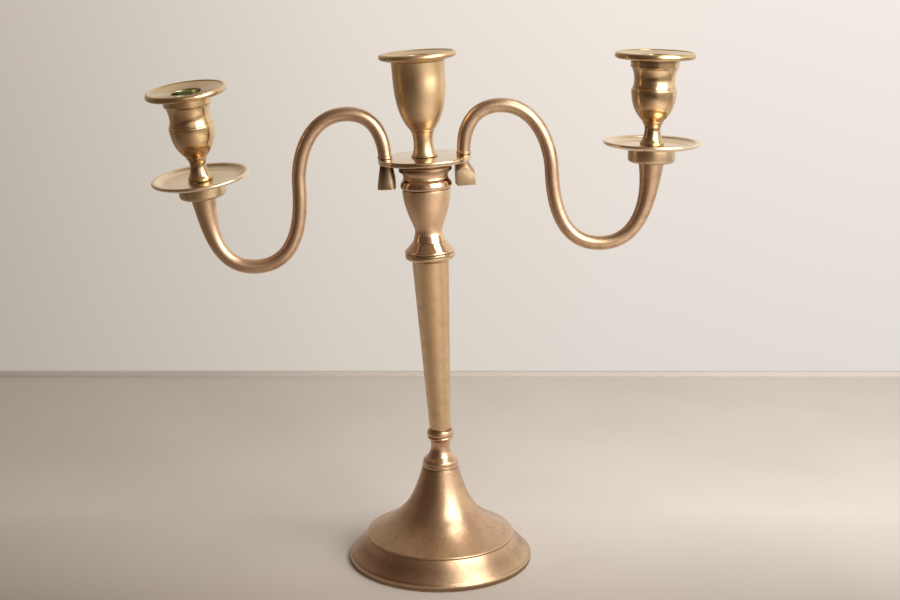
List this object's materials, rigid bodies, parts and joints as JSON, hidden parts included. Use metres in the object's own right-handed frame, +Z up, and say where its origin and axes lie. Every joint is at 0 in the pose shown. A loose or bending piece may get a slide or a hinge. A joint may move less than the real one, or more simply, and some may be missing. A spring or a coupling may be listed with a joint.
{
  "type": "candelabra",
  "caption": "Brass table candelabra: a turned foot and tapering stem carry a lift-off branch with S-bent arms, drip pans and candle cups.",
  "frame": {"origin": "centre of the foot's ring, on the surface that it stands on", "axes": "+Z up, X along the arms with the right-hand arm towards +X, the front towards -Y"},
  "size_m": [0.4136, 0.143, 0.3989],
  "materials": {
    "foot": "aged, half polished, brownish",
    "stem": "aged, half polished",
    "bright": "polished with light wear",
    "arm": "aged, half polished",
    "nut": "dull, as turned",
    "hidden": "dull"
  },
  "bodies": {
    "stand": {"foot_bell": "foot", "foot_collar": "foot", "foot_washer": "hidden", "foot_nut": "hidden", "stem_stud": "hidden", "stem": "stem", "socket_stud": "hidden", "stem_socket": "stem"},
    "plug": {"branch_plug": "bright"},
    "branch": {"branch_plate": "bright", "centre_stud": "hidden", "centre_cup": "bright", "left_arm": "arm", "left_nut": "nut", "left_stud": "hidden", "left_collar": "bright", "left_pan": "bright", "left_cup": "bright", "right_arm": "arm", "right_nut": "nut", "right_stud": "hidden", "right_collar": "bright", "right_pan": "bright", "right_cup": "bright"}
  },
  "joints": [
    {"name": "branch_lift", "type": "slide", "parent": "stand", "child": "plug", "axis": [-0.0541, 0.0261, 0.9982], "range_m": [0, 0.035]},
    {"name": "branch_turn", "type": "hinge", "parent": "plug", "child": "branch", "pos_m": [-0.01123, 0.00543, 0.31241], "axis": [-0.0541, 0.0261, 0.9982], "continuous": true}
  ]
}
